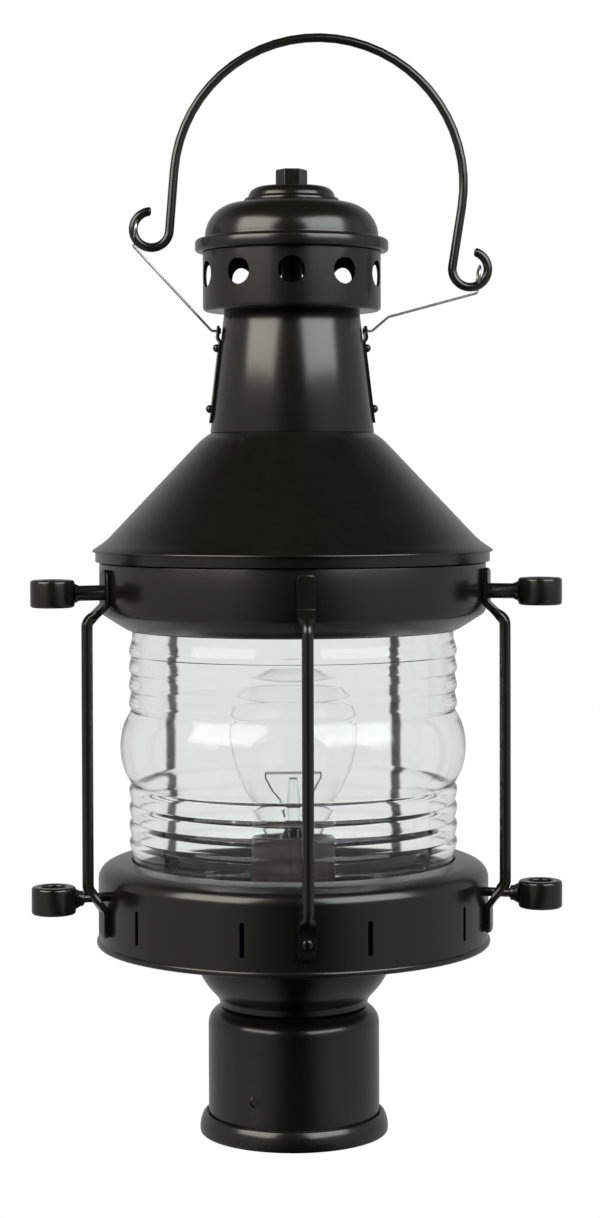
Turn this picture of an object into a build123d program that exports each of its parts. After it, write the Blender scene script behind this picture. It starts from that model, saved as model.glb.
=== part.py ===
from build123d import *

import os
from math import atan2, cos, degrees, pi, radians, sin, tan

# Post-top ship lantern. Millimetres. Z is up, the origin is on the post's axis at the
# fitter's bottom lip, and the front guard bar stands on the -Y side.

# --- driving dimensions ---

# general clearances and gauges
sheet = 1.2             # steel sheet of the bands, the pan and the bowl
spun_sheet = 1.0        # thinner sheet of the roof, the chimney and the cap
moving_gap = 0.3        # gap between pieces that move against each other
screw_gap = 0.15        # radial clearance of a screw or stud in its hole
thread_gap = 0.08       # radial play of the finial on the centre rod
nut_seat = 1.16         # a hexagon's reach over half its flats
front = -90.0           # azimuth of the front guard bar

# post fitter
post_diameter = 76.2
post_clearance = 0.4
fitter_wall = 1.5
fitter_height = 59.4
fitter_shoulder = 8.4   # radius of its rounded top edge
hem_reach = 3.6         # how far the rolled bottom hem stands out from the wall
hem_height = 9.6
hem_groove = 0.8        # groove between the hem's curl and the wall
hem_lip = 0.9           # width of the curl's edge in the groove
set_hole_diameter = 5.4
set_hole_height = 21.5
set_hole_count = 3
set_hole_first = front - 30.0

# threaded nipple that clamps the fitter, the bowl and the pan, and carries the socket
nipple_diameter = 10.2
nipple_bore = 7.0
nipple_below = 8.0      # how far it reaches below the fitter's top
nut_flats = 16.0
nut_thickness = 4.0

# bowl under the pan
bowl_bottom_radius = 34.6
bowl_top_radius = 46.0
bowl_height = 20.4
bowl_straight = 3.2     # height of its straight foot
bowl_waist_out = 8.0    # its widest bend, out from the foot and up from the fitter
bowl_waist_up = 12.0

# base pan and lower gallery
pan_flat_radius = 48.0
pan_rise = 9.0
pan_lip = 4.0
gallery_radius = 91.1
gallery_wall_height = 34.6
gallery_shoulder_rise = 5.2
gallery_bead = 1.5
slot_width = 2.3
slot_height = 15.6
slot_centre = 16.4      # above the gallery's bottom
slot_count = 10

# lens glass
glass_radius = 75.0     # plain ends
glass_wall = 3.2
glass_show = 106.4      # height between the two bands
glass_play = 0.5        # gap round the glass in the shoulder's opening
belt_height = 52.6      # the belt's middle above the gallery's shoulder
belt_half = 17.4
belt_bulge = 4.6
rib_pitch = 8.2
rib_count = 4           # on each side of the belt
rib_valley = 0.6        # valleys stand proud of the plain ends by this
rib_crest = 2.0
rib_lead = 0.24         # share of the pitch taken by the steep side

# seat and gaskets
seat_top = 20.4         # above the gallery's bottom
seat_skirt_radius = 79.0
seat_inner_radius = 66.0
gasket_thickness = 2.0
gasket_width = 4.6
sleeve_wall = 1.3

# upper band
band_radius = 90.2
band_funnel_rise = 8.8
band_wall_height = 23.1
band_flange_radius = 80.0
band_lip_height = 5.8
glass_in_band = 9.4     # how far the glass reaches into the band

# roof
rim_radius = 93.4
rim_strip = 4.6         # height of the strip that stands under the roof's edge
rim_overhang = 1.4      # the roof's edge stands this far out over the strip
rim_edge = 0.8          # height of the roof's own edge
roof_rise = 61.0        # strip's bottom to the chimney's foot
roof_foot_in = 6.4      # where the straight cone begins, in from the rim
roof_foot_up = 9.8
roof_top_out = 4.4      # where it ends, out from the chimney's foot
roof_top_down = 4.2
roof_neck = 5.6         # height of the neck inside the chimney
neck_corner = 1.1       # the cone turns into the neck this far below the chimney's foot

# chimney
chimney_foot_radius = 38.1
chimney_taper = 0.1182  # radius lost for each millimetre of height
chimney_height = 60.4

# bail straps, riveted to the chimney's sides
strap_width = 11.0
strap_thickness = 1.2
strap_foot = 3.4        # above the chimney's foot
strap_hole = 46.4       # above the chimney's foot
strap_ear = 2.4         # the ear goes on this far above the hole
ear_joggle = 1.5        # the ear stands this far off the chimney
ear_joggle_rise = 1.6
ear_below = 3.4         # the ear's flat begins this far below the hole
rivet_heights = (9.9, 38.2)
rivet_shank = 1.2
rivet_head = 1.9
rivet_proud = 2.2
rivet_tail = 0.8        # thickness of the tail formed inside the chimney

# vent collar
collar_radius = 41.5
collar_height = 27.6
collar_overlap = 5.0    # the chimney reaches this far into it
vent_diameter = 12.2
vent_centre = 16.8      # above the collar's bottom
vent_count = 10
vent_clock = -3.8       # the cap is turned this much from the front bar

# dome, top disc, centre rod and finial
dome_rim_radius = 45.1
dome_rim_height = 6.1
dome_radius = 40.5
dome_rise = 16.6
dome_corner = 15.2
disc_flange_radius = 22.6
disc_flange = 2.7
disc_radius = 20.7
disc_height = 7.7
disc_corner = 4.6
rod_diameter = 9.6
rod_gap = 0.3
rod_top_in_finial = 5.6
rod_below_bar = 9.0
finial_flats = 13.0
finial_height = 7.8
finial_top = 1.9
finial_chamfer = 0.9
crossbar_width = 16.0
crossbar_thickness = 2.4
crossbar_end_gap = 0.6
rod_nut_flats = 15.0
rod_nut_thickness = 5.0

# guard bars
bar_count = 5
bar_diameter = 5.2
bar_standoff = 9.3      # the bar's middle stands this far outside the wider band
bar_bend = 4.5          # bend radius
lug_width = 7.6
lug_thickness = 3.0
upper_lug_length = 16.0
upper_crank = 8.0
upper_lug_drop = 2.2    # below the band's top edge
lower_lug_length = 12.0
lower_crank = 10.6
lower_lug_lift = 8.2    # above the gallery's bottom
crank_start = 0.24      # share of a crank's run where its bend has ended
neck_start = 0.22       # shares of the run left where the round bar turns flat
neck_end = 0.62
lug_corner = 0.32       # corner radius of a lug's tip, as a share of its width
eye_bars = (1, 4)       # counted from the front bar, the two that carry eyes

# eye bolts for lashing the lantern
eye_outer_radius = 10.0
eye_hole_radius = 5.5
eye_height = 12.5
eye_reach = 16.2        # the eye's middle stands this far outside the bar's middle
eye_stem = 7.0
eye_stud = 4.2
eye_edge = 0.9
eye_upper_drop = 12.7   # below the band's top edge
eye_lower_lift = 26.8   # above the gallery's bottom
eye_nut_flats = 7.0
eye_nut_thickness = 3.2
stud_end = 2.0          # thread past the nut

# screws at the feet of the other bars
screw_lift = 7.2        # above the foot of the lug
screw_shank = 3.2
screw_head = 2.4
screw_head_height = 1.5
screw_nut_flats = 5.5
screw_nut_thickness = 2.4

# bail
bail_rod = 4.2
bail_radius = 67.8
bail_leg = 28.0
bail_splay = 2.2
bail_tilt = -6.9
bail_side = 12.9        # the arch's centre stands this far to +X
bail_rise = 68.7        # and this far above the strap holes
hook_radius = 8.4
hook_sweep = 265.0

# wire links between the straps and the bail
wire = 1.2
wire_gap = 0.3
link_ring = 4.3         # radius of the loop round the hook, to the wire's middle
link_grip_left = 225.0  # where round the left hook its loop sits
link_grip_right = 278.0
link_button = 1.4
link_button_thickness = 0.7
link_stub = 2.2
link_bend = 1.6
left_knee = (-1.2, -7.6)      # bend below the left loop, from the loop's middle
right_knee = (-0.7, -8.4)
right_elbow = (10.0, 6.6)     # first bend of the right link, from the strap hole

# lamp
socket_radius = 19.5
socket_height = 45.0
socket_foot = 16.2      # the socket's bottom above the pan's flat
socket_wall = 3.9
socket_floor = 13.0
nipple_in_socket = 9.0
shell_gap = 0.9
shell_wall = 0.6
base_radius = 13.1
base_length = 23.0
base_tip = 4.4
thread_depth = 1.1
stem_seat = 6.0         # the stem starts this far below the base's top
contact_radius = 4.0
contact_thickness = 1.6
bulb_radius = 30.0
bulb_length = 106.0
bulb_wall = 0.7
bulb_neck_radius = 13.4
filament_spread = 13.0
lead_wire = 0.9

# --- heights and radii that follow from them ---

bore_radius = post_diameter / 2 + post_clearance
fitter_radius = bore_radius + fitter_wall
nipple_hole = nipple_diameter / 2 + screw_gap
pan_z = fitter_height + bowl_height
gallery_z = pan_z + pan_rise
gallery_inner = gallery_radius - sheet
shoulder_z = gallery_z + gallery_wall_height + gallery_shoulder_rise
opening_radius = glass_radius + glass_play
seat_z = gallery_z + seat_top
glass_bottom = seat_z + gasket_thickness
band_z = shoulder_z + glass_show
glass_top = band_z + glass_in_band
band_top = band_z + band_funnel_rise + band_wall_height
band_inner = band_radius - sheet
rim_z = band_top + moving_gap
chimney_z = rim_z + roof_rise
chimney_top = chimney_z + chimney_height
strap_hole_z = chimney_z + strap_hole
collar_z = chimney_top - collar_overlap
dome_z = collar_z + collar_height
dome_top = dome_z + dome_rise + dome_rim_height
disc_top = dome_top + disc_height
rod_hole = rod_diameter / 2 + rod_gap
finial_z = disc_top + moving_gap
crossbar_z = band_top - sheet - crossbar_thickness
bar_radius = max(gallery_radius, band_radius) + bar_standoff
eye_radius = bar_radius + eye_reach
socket_z = pan_z + socket_foot
bulb_z = socket_z + socket_floor + contact_thickness
ear_inner = chimney_foot_radius - chimney_taper * strap_hole + ear_joggle


# --- helpers ---

def outline(points, radii):
    """Closed face through (radius, height) points, each corner rounded by its own radius."""
    count = len(points)
    corners = []
    for i, (point, radius) in enumerate(zip(points, radii)):
        corner = Vector(*point)
        back = (Vector(*points[i - 1]) - corner).normalized()
        ahead = (Vector(*points[(i + 1) % count]) - corner).normalized()
        if radius <= 0:
            corners.append((corner, None, corner))
            continue
        half = radians(back.get_angle(ahead)) / 2
        reach = radius / tan(half)
        centre = corner + (back + ahead).normalized() * (radius / sin(half))
        middle = centre + (corner - centre).normalized() * radius
        corners.append((corner + back * reach, middle, corner + ahead * reach))
    edges = []
    for i, (start, middle, end) in enumerate(corners):
        if middle is not None:
            edges.append(ThreePointArc(start, middle, end))
        following = corners[(i + 1) % count][0]
        if (following - end).length > 1e-6:
            edges.append(Line(end, following))
    return make_face(edges)


def turned(face):
    """Solid of revolution about Z of a face drawn as (radius, height)."""
    return revolve(Plane.XZ * face, Axis.Z)


def sheet_face(points, radii, wall):
    """Face of a bent sheet: the points are its outer side, the wall lies to their left."""
    path = [Vector(*point) for point in points]
    inner = []
    inner_radii = []
    for i, corner in enumerate(path):
        before = (corner - path[i - 1]).normalized() if i else None
        after = (path[i + 1] - corner).normalized() if i + 1 < len(path) else None
        before = before or after
        after = after or before
        left_before = Vector(-before.Y, before.X)
        left_after = Vector(-after.Y, after.X)
        mitre = (left_before + left_after).normalized()
        inner.append(corner + mitre * (wall / mitre.dot(left_before)))
        turn = before.X * after.Y - before.Y * after.X
        radius = radii[i]
        if radius > 0:
            radius = max(radius - wall, 0) if turn > 0 else radius + wall
        inner_radii.append(radius)
    closed = [(point.X, point.Y) for point in path + inner[::-1]]
    return outline(closed, list(radii) + inner_radii[::-1])


def spun(points, radii, wall):
    """Spun sheet-metal piece."""
    return turned(sheet_face(points, radii, wall))


def tube(inner, outer, bottom, top):
    """Plain ring between two radii and two heights."""
    corners = [(inner, bottom), (outer, bottom), (outer, top), (inner, top)]
    return turned(outline(corners, [0, 0, 0, 0]))


def radial_rod(radius, start, end, height, azimuth):
    """Cylinder that lies along a radius of the lantern."""
    rod = Rot(0, 90, 0) * Cylinder(radius, end - start)
    return Rot(0, 0, azimuth) * Pos((start + end) / 2, 0, height) * rod


def radial_nut(flats, thickness, hole, outer_face, height, azimuth):
    """Hexagon nut on a radial stud, its outer face at the given radius."""
    face = RegularPolygon(flats / 2, 6, major_radius=False) - Circle(hole)
    nut = Rot(0, 90, 0) * extrude(face, thickness)
    return Rot(0, 0, azimuth) * Pos(outer_face - thickness, 0, height) * nut


def flat_nut(flats, thickness, hole, bottom):
    """Hexagon nut on the lantern's axis."""
    face = RegularPolygon(flats / 2, 6, major_radius=False) - Circle(hole)
    return Pos(0, 0, bottom) * extrude(face, thickness)


def chimney_radius(height):
    """Outer radius of the chimney at a height."""
    return chimney_foot_radius - chimney_taper * (height - chimney_z)


def bar_azimuth(number):
    """Azimuth of a guard bar, counted from the front one."""
    return front + number * 360 / bar_count


def inside_flat(wall_radius, half_width):
    """Where a flat nut stops against the inside of a round wall."""
    return (wall_radius ** 2 - half_width ** 2) ** 0.5 - 0.05


# --- base ---

def post_fitter():
    hem = fitter_radius + hem_reach
    curl = fitter_radius + hem_groove
    points = [
        (bore_radius, 0),
        (hem, 0),
        (hem, hem_height * 0.72),
        (curl + hem_lip, hem_height),
        (curl, hem_height),
        (curl, hem_height * 0.6),
        (fitter_radius, hem_height * 0.6),
        (fitter_radius, fitter_height),
        (nipple_hole, fitter_height),
        (nipple_hole, fitter_height - fitter_wall),
        (bore_radius, fitter_height - fitter_wall),
    ]
    inner_shoulder = fitter_shoulder - fitter_wall
    radii = [0, 2.2, 3.2, 0.3, 0, 0, 0, fitter_shoulder, 0, 0, inner_shoulder]
    body = turned(outline(points, radii))
    for i in range(set_hole_count):
        azimuth = set_hole_first + i * 360 / set_hole_count
        body -= radial_rod(set_hole_diameter / 2, bore_radius - 5, hem + 5,
                           set_hole_height, azimuth)
    return body


def fitter_nipple():
    bottom = fitter_height - nipple_below
    return tube(nipple_bore / 2, nipple_diameter / 2, bottom, socket_z + nipple_in_socket)


def nipple_nuts():
    under = fitter_height - fitter_wall - nut_thickness
    over = pan_z + sheet
    lower = flat_nut(nut_flats, nut_thickness, nipple_hole, under)
    upper = flat_nut(nut_flats, nut_thickness, nipple_hole, over)
    return lower + upper


def bowl_neck():
    points = [
        (nipple_hole, fitter_height),
        (bowl_bottom_radius, fitter_height),
        (bowl_bottom_radius, fitter_height + bowl_straight),
        (bowl_bottom_radius + bowl_waist_out, fitter_height + bowl_waist_up),
        (bowl_top_radius, pan_z + sheet),
    ]
    body = spun(points, [0, 1.5, 2.5, 8, 0], sheet)
    return body & Pos(0, 0, pan_z / 2) * Cylinder(bowl_top_radius + 5, pan_z)


def base_pan():
    points = [
        (nipple_hole, pan_z),
        (pan_flat_radius, pan_z),
        (gallery_inner, gallery_z),
        (gallery_inner, gallery_z + pan_lip),
    ]
    return spun(points, [0, 6, 2, 0], sheet)


def lower_gallery():
    corner = gallery_z + gallery_wall_height
    points = [
        (gallery_radius, gallery_z),
        (gallery_radius, corner),
        (gallery_radius - 5.6, corner + 3.8),
        (opening_radius, shoulder_z),
    ]
    body = spun(points, [0, 4, 14, 0], sheet)
    bead = Pos(gallery_radius - gallery_bead + 0.9, gallery_z + gallery_bead) * Circle(gallery_bead)
    ring = turned(bead) - Pos(0, 0, gallery_z) * Cylinder(gallery_inner, 4 * gallery_bead)
    body += ring
    slot = Box(4 * sheet + 6, slot_width, slot_height)
    slot = fillet(slot.edges().filter_by(Axis.X), slot_width * 0.45)
    for i in range(slot_count):
        azimuth = front + (i + 0.5) * 360 / slot_count
        body -= Rot(0, 0, azimuth) * Pos(gallery_radius, 0, gallery_z + slot_centre) * slot
    for number in range(bar_count):
        azimuth = bar_azimuth(number)
        if number in eye_bars:
            hole = eye_stud / 2 + screw_gap
            height = gallery_z + eye_lower_lift
        else:
            hole = screw_shank / 2 + screw_gap
            height = gallery_z + lower_lug_lift + screw_lift
        body -= radial_rod(hole, gallery_inner - 5, gallery_radius + 5, height, azimuth)
    return body


def glass_seat():
    slope = pan_rise / (gallery_inner - pan_flat_radius)
    foot = pan_z + (seat_skirt_radius - pan_flat_radius) * slope
    foot += sheet * (1 + slope ** 2) ** 0.5 + 0.02
    points = [
        (seat_skirt_radius, foot),
        (seat_skirt_radius, seat_z),
        (seat_inner_radius, seat_z),
    ]
    return spun(points, [0, 2, 0], sheet)


# --- lens ---

def lower_gasket():
    outer = glass_radius + 0.3
    return tube(outer - gasket_width, outer, seat_z, glass_bottom)


def lens_glass():
    belt_z = shoulder_z + belt_height
    valley = glass_radius + rib_valley
    crest = glass_radius + rib_crest
    inner = glass_radius - glass_wall
    half_height = belt_half + rib_count * rib_pitch
    lower = [(glass_radius, belt_z - half_height)]
    upper = [(glass_radius, belt_z + half_height)]
    for i in reversed(range(rib_count)):
        offset = belt_half + i * rib_pitch
        lower.append((crest, belt_z - offset - rib_pitch * rib_lead))
        lower.append((valley, belt_z - offset))
        upper.append((crest, belt_z + offset + rib_pitch * rib_lead))
        upper.append((valley, belt_z + offset))
    upper.reverse()
    bottom_rib = [(glass_radius, glass_bottom)] + lower
    top_rib = upper + [(glass_radius, glass_top)]
    edges = [
        Polyline(*bottom_rib),
        ThreePointArc(lower[-1], (valley + belt_bulge, belt_z), upper[0]),
        Polyline(*top_rib),
        Polyline(top_rib[-1], (inner, glass_top), (inner, glass_bottom), bottom_rib[0]),
    ]
    return turned(make_face(edges))


def upper_sleeve():
    return tube(glass_radius, glass_radius + sleeve_wall, band_z + 0.4,
                band_z + band_lip_height)


# --- upper band ---

def upper_band():
    lip = glass_radius + sleeve_wall
    corner = band_z + band_funnel_rise
    points = [
        (lip, band_z + band_lip_height),
        (lip, band_z),
        (band_radius, corner),
        (band_radius, band_top),
        (band_flange_radius, band_top),
    ]
    body = spun(points, [0, 1.5, 3.5, 1.8, 0], sheet)
    for number in eye_bars:
        body -= radial_rod(eye_stud / 2 + screw_gap, band_inner - 5, band_radius + 5,
                           band_top - eye_upper_drop, bar_azimuth(number))
    return body


def crossbar():
    reach = band_inner - crossbar_end_gap
    strap = Box(2 * reach + 10, crossbar_width, crossbar_thickness)
    strap &= Cylinder(reach, crossbar_thickness)
    strap -= Cylinder(rod_diameter / 2 + screw_gap, crossbar_thickness)
    return Pos(0, 0, crossbar_z + crossbar_thickness / 2) * strap


def centre_rod():
    bottom = crossbar_z - rod_below_bar
    top = finial_z + rod_top_in_finial
    rod = Pos(0, 0, (bottom + top) / 2) * Cylinder(rod_diameter / 2, top - bottom)
    return chamfer(rod.edges().filter_by(GeomType.CIRCLE), 0.6)


def rod_nuts():
    hole = rod_diameter / 2 + screw_gap
    below = flat_nut(rod_nut_flats, rod_nut_thickness, hole, crossbar_z - rod_nut_thickness)
    above = flat_nut(rod_nut_flats, rod_nut_thickness, hole, crossbar_z + crossbar_thickness)
    return below + above


# --- guard bars, eyes and their fasteners ---

def lug_middle(band):
    """Radius of the middle of a lug that lies against a band."""
    return band + lug_thickness / 2


def bar_section(point, direction, shape):
    """A section of the bar, square to its direction, at a (radius, height) point."""
    normal = Vector(direction[0], 0, direction[1])
    plane = Plane(origin=(point[0], 0, point[1]), x_dir=(0, 1, 0), z_dir=normal)
    return plane * shape


def flat_end(lug_start, lug_end, crank_foot):
    """Flattened lug and the cranked part that joins it to the round bar."""
    start = Vector(*crank_foot)
    knee = Vector(*lug_start)
    along = (knee - start).normalized()
    run = (knee - start).length
    round_point = start + along * run * neck_start
    flat_point = start + along * run * neck_end
    flat = RectangleRounded(lug_width, lug_thickness, lug_thickness * 0.3)
    first = bar_section((round_point.X, round_point.Y), (along.X, along.Y),
                        Circle(bar_diameter / 2))
    second = bar_section((flat_point.X, flat_point.Y), (along.X, along.Y), flat)
    neck = loft([first, second])
    path = FilletPolyline((flat_point.X, 0, flat_point.Y), (knee.X, 0, knee.Y),
                          (lug_end[0], 0, lug_end[1]), radius=lug_thickness * 0.8)
    lug = sweep(second, path=path)
    inward = 1 if lug_start[1] > lug_end[1] else -1
    tip = Pos(lug_end[0], 0, lug_end[1]) * Box(3 * lug_thickness, lug_width, 2 * lug_width)
    rounded = RectangleRounded(2 * lug_width, lug_width, lug_width * lug_corner)
    rounded = Rot(0, 90, 0) * extrude(rounded, 3 * lug_thickness, both=True)
    rounded = Pos(lug_end[0], 0, lug_end[1] + inward * lug_width) * rounded
    return neck + (lug - (tip - rounded))


def guard_bar(number):
    upper_wall = lug_middle(band_radius)
    lower_wall = lug_middle(gallery_radius)
    upper_end = (upper_wall, band_top - upper_lug_drop)
    upper_knee = (upper_wall, upper_end[1] - upper_lug_length)
    upper_bend = (bar_radius, upper_knee[1] - upper_crank)
    lower_end = (lower_wall, gallery_z + lower_lug_lift)
    lower_knee = (lower_wall, lower_end[1] + lower_lug_length)
    lower_bend = (bar_radius, lower_knee[1] + lower_crank)
    upper_tip = [a + (b - a) * crank_start for a, b in zip(upper_bend, upper_knee)]
    lower_tip = [a + (b - a) * crank_start for a, b in zip(lower_bend, lower_knee)]
    route = [upper_tip, upper_bend, lower_bend, lower_tip]
    path = FilletPolyline(*[(r, 0, z) for r, z in route], radius=bar_bend)
    start = path @ 0
    heading = path % 0
    round_part = sweep(Plane(origin=start, z_dir=heading) * Circle(bar_diameter / 2), path=path)
    bar = round_part + flat_end(upper_knee, upper_end, upper_bend)
    bar += flat_end(lower_knee, lower_end, lower_bend)
    if number in eye_bars:
        hole = eye_stud / 2 + screw_gap
        for height in eye_heights():
            bar -= radial_rod(hole, band_radius - 10, bar_radius + 10, height, 0)
    else:
        hole = screw_shank / 2 + screw_gap
        height = gallery_z + lower_lug_lift + screw_lift
        bar -= radial_rod(hole, gallery_radius - 10, bar_radius + 10, height, 0)
    return Rot(0, 0, bar_azimuth(number)) * bar


def eye_heights():
    """Heights of the lower and the upper eye."""
    return gallery_z + eye_lower_lift, band_top - eye_upper_drop


def eye_bolt(height, wall_inner, shoulder_radius):
    """Ring with a vertical hole, on a stem that steps down to a stud."""
    ring = Cylinder(eye_outer_radius, eye_height)
    ring = fillet(ring.edges().filter_by(GeomType.CIRCLE), eye_edge)
    bolt = Pos(eye_radius, 0, height) * ring
    bolt += radial_rod(eye_stem / 2, shoulder_radius, eye_radius - eye_hole_radius - 1, height, 0)
    stud_start = inside_flat(wall_inner, eye_nut_flats / 2) - eye_nut_thickness - stud_end
    bolt += radial_rod(eye_stud / 2, stud_start, shoulder_radius + 1, height, 0)
    bolt -= Pos(eye_radius, 0, height) * Cylinder(eye_hole_radius, 2 * eye_height)
    return bolt


def eye_bolts(number):
    """The lower and the upper eye of one bar."""
    lower, upper = eye_heights()
    turn = Rot(0, 0, bar_azimuth(number))
    lower_shoulder = bar_radius + bar_diameter / 2 + 0.2
    upper_shoulder = band_radius + lug_thickness
    return (turn * eye_bolt(lower, gallery_inner, lower_shoulder),
            turn * eye_bolt(upper, band_inner, upper_shoulder))


def eye_nuts():
    lower, upper = eye_heights()
    nuts = []
    for number in eye_bars:
        for height, wall in ((lower, gallery_inner), (upper, band_inner)):
            face = inside_flat(wall, eye_nut_flats / 2 * nut_seat)
            nuts.append(radial_nut(eye_nut_flats, eye_nut_thickness, eye_stud / 2, face,
                                   height, bar_azimuth(number)))
    return Compound(nuts)


def foot_screws():
    """Round-headed screws at the feet of the bars that carry no eye."""
    height = gallery_z + lower_lug_lift + screw_lift
    face = gallery_radius + lug_thickness
    end = inside_flat(gallery_inner, screw_nut_flats / 2) - screw_nut_thickness - 1.2
    screws = []
    for number in range(bar_count):
        if number in eye_bars:
            continue
        head = Rot(0, 90, 0) * Cylinder(screw_head, screw_head_height)
        head = Pos(face + screw_head_height / 2, 0, height) * head
        head = fillet(head.edges().filter_by(GeomType.CIRCLE).sort_by(Axis.X)[-1],
                      screw_head_height * 0.75)
        shank = radial_rod(screw_shank / 2, end, face + 0.5, height, 0)
        screws.append(Rot(0, 0, bar_azimuth(number)) * (head + shank))
    return Compound(screws)


def foot_nuts():
    height = gallery_z + lower_lug_lift + screw_lift
    face = inside_flat(gallery_inner, screw_nut_flats / 2 * nut_seat)
    nuts = []
    for number in range(bar_count):
        if number not in eye_bars:
            nuts.append(radial_nut(screw_nut_flats, screw_nut_thickness, screw_shank / 2, face,
                                   height, bar_azimuth(number)))
    return Compound(nuts)


# --- roof ---

def roof_cone():
    neck_foot = chimney_radius(chimney_z) - spun_sheet
    neck_top = chimney_radius(chimney_z + roof_neck) - spun_sheet
    edge_z = rim_z + rim_strip
    strip_radius = rim_radius - rim_overhang
    points = [
        (rim_radius, edge_z),
        (rim_radius, edge_z + rim_edge),
        (rim_radius - roof_foot_in, rim_z + roof_foot_up),
        (chimney_foot_radius + roof_top_out, chimney_z - roof_top_down),
        (neck_foot + chimney_taper * neck_corner, chimney_z - neck_corner),
        (neck_top, chimney_z + roof_neck),
    ]
    body = spun(points, [0, 0.3, 12, 9, neck_corner, 0], spun_sheet)
    return body + tube(strip_radius - spun_sheet, strip_radius, rim_z, edge_z + spun_sheet)


def rivet_places():
    """Azimuth and height of each rivet's middle."""
    return [(side, chimney_z + height) for side in (0, 180) for height in rivet_heights]


def rivet_frame(azimuth, height, stand_off):
    """Location on the chimney's tapered side, its X axis square to the surface."""
    lean = -degrees(atan2(chimney_taper, 1))
    return (Rot(0, 0, azimuth) * Pos(chimney_radius(height), 0, height) * Rot(0, lean, 0)
            * Pos(stand_off, 0, 0))


def chimney():
    corners = [
        (chimney_radius(chimney_z), chimney_z),
        (chimney_radius(chimney_top), chimney_top),
        (chimney_radius(chimney_top) - spun_sheet, chimney_top),
        (chimney_radius(chimney_z) - spun_sheet, chimney_z),
    ]
    body = turned(outline(corners, [0, 0, 0, 0]))
    drill = Rot(0, 90, 0) * Cylinder(rivet_shank + screw_gap, 8)
    for azimuth, height in rivet_places():
        body -= rivet_frame(azimuth, height, 0) * drill
    return body


def bail_strap(azimuth):
    """Strap that lies on the chimney and stands off it at the ear."""
    foot = chimney_z + strap_foot
    ear_foot = strap_hole_z - ear_below
    joggle_foot = ear_foot - ear_joggle_rise
    top = strap_hole_z + strap_ear
    inner = [
        (chimney_radius(top) + ear_joggle, top),
        (chimney_radius(ear_foot) + ear_joggle, ear_foot),
        (chimney_radius(joggle_foot), joggle_foot),
        (chimney_radius(foot), foot),
    ]
    plate = spun(inner, [0, 1.6, 1.6, 0], strap_thickness)
    blank = RectangleRounded(top - foot, strap_width, strap_width * 0.42)
    blank = Pos(chimney_foot_radius, 0, (foot + top) / 2) * Rot(0, 90, 0) * extrude(
        blank, chimney_foot_radius * 0.6, both=True)
    strap = Rot(0, 0, azimuth) * (plate & blank)
    strap -= radial_rod(wire / 2 + wire_gap, 10, chimney_foot_radius * 2, strap_hole_z, azimuth)
    drill = Rot(0, 90, 0) * Cylinder(rivet_shank + screw_gap, 8)
    for place, height in rivet_places():
        if place == azimuth:
            strap -= rivet_frame(place, height, 0) * drill
    return strap


def strap_rivets():
    """Domed rivets through the straps and the chimney, with formed tails inside."""
    rivets = []
    ball_radius = (rivet_head ** 2 + rivet_proud ** 2) / (2 * rivet_proud)
    head = Pos(rivet_proud - ball_radius, 0, 0) * Sphere(ball_radius)
    head &= Pos(rivet_proud / 2, 0, 0) * Box(rivet_proud, 4 * rivet_head, 4 * rivet_head)
    depth = strap_thickness + spun_sheet
    shank = Pos(-depth / 2, 0, 0) * Rot(0, 90, 0) * Cylinder(rivet_shank, depth + 2 * rivet_tail)
    tail = Cylinder(rivet_head * 0.9, rivet_tail)
    tail = Pos(-depth - rivet_tail / 2 - screw_gap, 0, 0) * Rot(0, 90, 0) * tail
    for azimuth, height in rivet_places():
        rivets.append(rivet_frame(azimuth, height, strap_thickness) * (head + shank + tail))
    return Compound(rivets)


def vent_collar():
    start = chimney_radius(chimney_top) - 1.0
    points = [
        (start, collar_z),
        (collar_radius, collar_z),
        (collar_radius, dome_z),
    ]
    body = spun(points, [0, 2.2, 0], spun_sheet)
    taper = [
        (0, chimney_z),
        (chimney_radius(chimney_z), chimney_z),
        (chimney_radius(chimney_top), chimney_top),
        (0, chimney_top),
    ]
    body -= turned(outline(taper, [0, 0, 0, 0]))
    for i in range(vent_count):
        azimuth = front + vent_clock + i * 360 / vent_count
        body -= radial_rod(vent_diameter / 2, collar_radius - 8, collar_radius + 8,
                           collar_z + vent_centre, azimuth)
    return body


def vent_dome():
    rim_top = dome_z + dome_rim_height
    points = [
        (collar_radius - 0.5, dome_z),
        (dome_rim_radius, dome_z),
        (dome_rim_radius, rim_top),
        (dome_radius, rim_top),
        (dome_radius - 0.5, dome_top),
        (rod_hole, dome_top),
    ]
    return spun(points, [0, 1.8, 2.2, 0.9, dome_corner, 0], spun_sheet)


def top_disc():
    points = [
        (disc_flange_radius, dome_top),
        (disc_flange_radius, dome_top + disc_flange),
        (disc_radius, dome_top + disc_flange),
        (disc_radius - 0.3, disc_top),
        (rod_hole, disc_top),
        (rod_hole, dome_top),
    ]
    return turned(outline(points, [0, 0.6, 0.6, disc_corner, 0, 0]))


def finial_nut():
    prism = extrude(RegularPolygon(finial_flats / 2, 6, major_radius=False), finial_height)
    across = finial_flats / 2 / cos(pi / 6)
    bevel = [
        (0, 0),
        (across, 0),
        (across, finial_height - finial_chamfer),
        (across - 1.7 * finial_chamfer, finial_height),
        (0, finial_height),
    ]
    nut = prism & turned(outline(bevel, [0, 0, 0, 0, 0]))
    bore_depth = finial_height - finial_top
    bore = Pos(0, 0, bore_depth / 2) * Cylinder(rod_diameter / 2 + thread_gap, bore_depth)
    return Pos(0, 0, finial_z) * (nut - bore)


# --- bail and its wire links ---

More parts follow.
